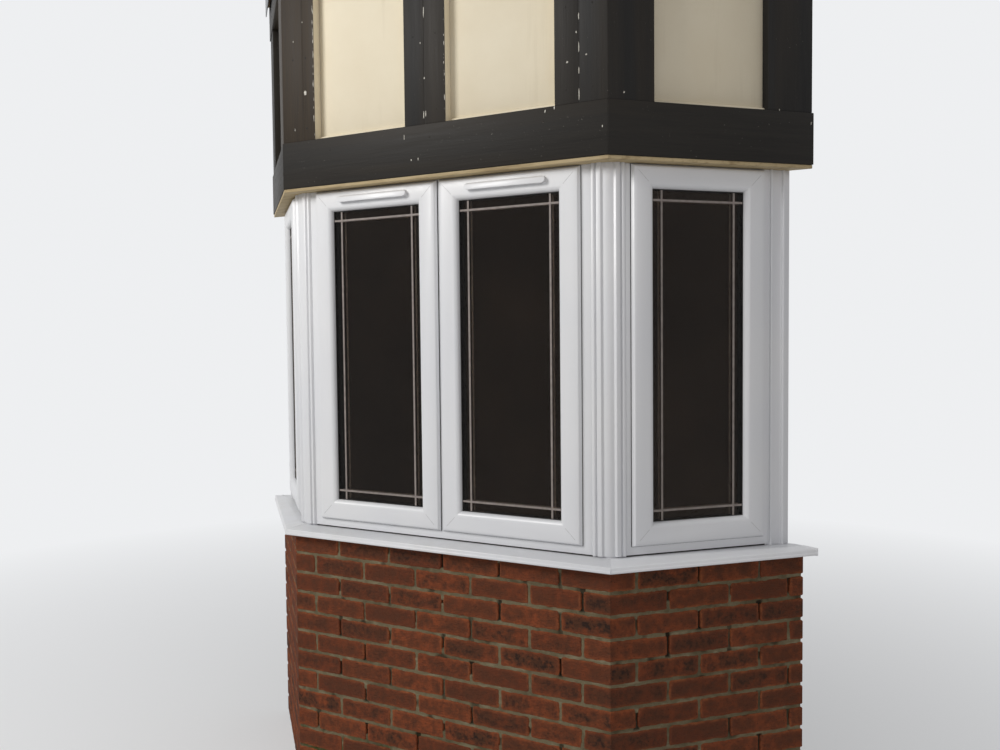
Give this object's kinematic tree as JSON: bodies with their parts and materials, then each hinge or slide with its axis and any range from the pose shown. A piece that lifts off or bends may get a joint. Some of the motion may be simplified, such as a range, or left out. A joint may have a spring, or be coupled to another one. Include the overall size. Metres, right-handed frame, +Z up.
{
  "type": "bay window",
  "caption": "Canted bay window with a brick base, white casements with ribbed corner posts, black timbers over pale panels and a flat lead roof.",
  "frame": {"origin": "ground level on the line of the house wall, midway along the bay", "axes": "+Z up, -Y out of the house wall, +X to the right as seen from outside"},
  "size_m": [2.3802, 0.54, 3.361],
  "materials": {
    "brick": "rough",
    "plaster": "matt",
    "window_board": "satin",
    "concrete": "rough",
    "upvc": "satin",
    "glass": "clear",
    "handle": "satin",
    "soffit_board": "painted",
    "black_timber": "painted",
    "render": "painted",
    "wall_frame": "sawn",
    "deck_board": "sawn",
    "lead": "dull"
  },
  "bodies": {
    "root": {"brick_front": "brick", "brick_left": "brick", "brick_right": "brick", "inner_leaf_front": "plaster", "inner_leaf_left": "plaster", "inner_leaf_right": "plaster", "floor_slab": "concrete", "cill_front": "upvc", "cill_left": "upvc", "cill_right": "upvc", "window_board_front": "window_board", "window_board_left": "window_board", "window_board_right": "window_board", "frame_front": "upvc", "frame_left": "upvc", "frame_right": "upvc", "corner_post_left": "upvc", "corner_post_right": "upvc", "wall_post_left": "upvc", "wall_post_right": "upvc", "sash_front_left": "upvc", "sash_front_right": "upvc", "sash_left": "upvc", "sash_right": "upvc", "glass_front_left": "glass", "glass_front_right": "glass", "glass_left": "glass", "glass_right": "glass", "vent_hoods": "upvc", "window_handles": "handle", "soffit_front": "soffit_board", "soffit_left": "soffit_board", "soffit_right": "soffit_board", "ceiling": "plaster", "beam_front": "black_timber", "beam_left": "black_timber", "beam_right": "black_timber", "apron_wall_front": "wall_frame", "apron_wall_left": "wall_frame", "apron_wall_right": "wall_frame", "panel_front": "render", "panel_left": "render", "panel_right": "render", "timber_corner_left": "black_timber", "timber_corner_right": "black_timber", "timber_middle": "black_timber", "timber_ends": "black_timber", "top_rail_front": "black_timber", "top_rail_left": "black_timber", "top_rail_right": "black_timber", "roof_deck": "deck_board", "roof_lead": "lead"}
  },
  "joints": []
}
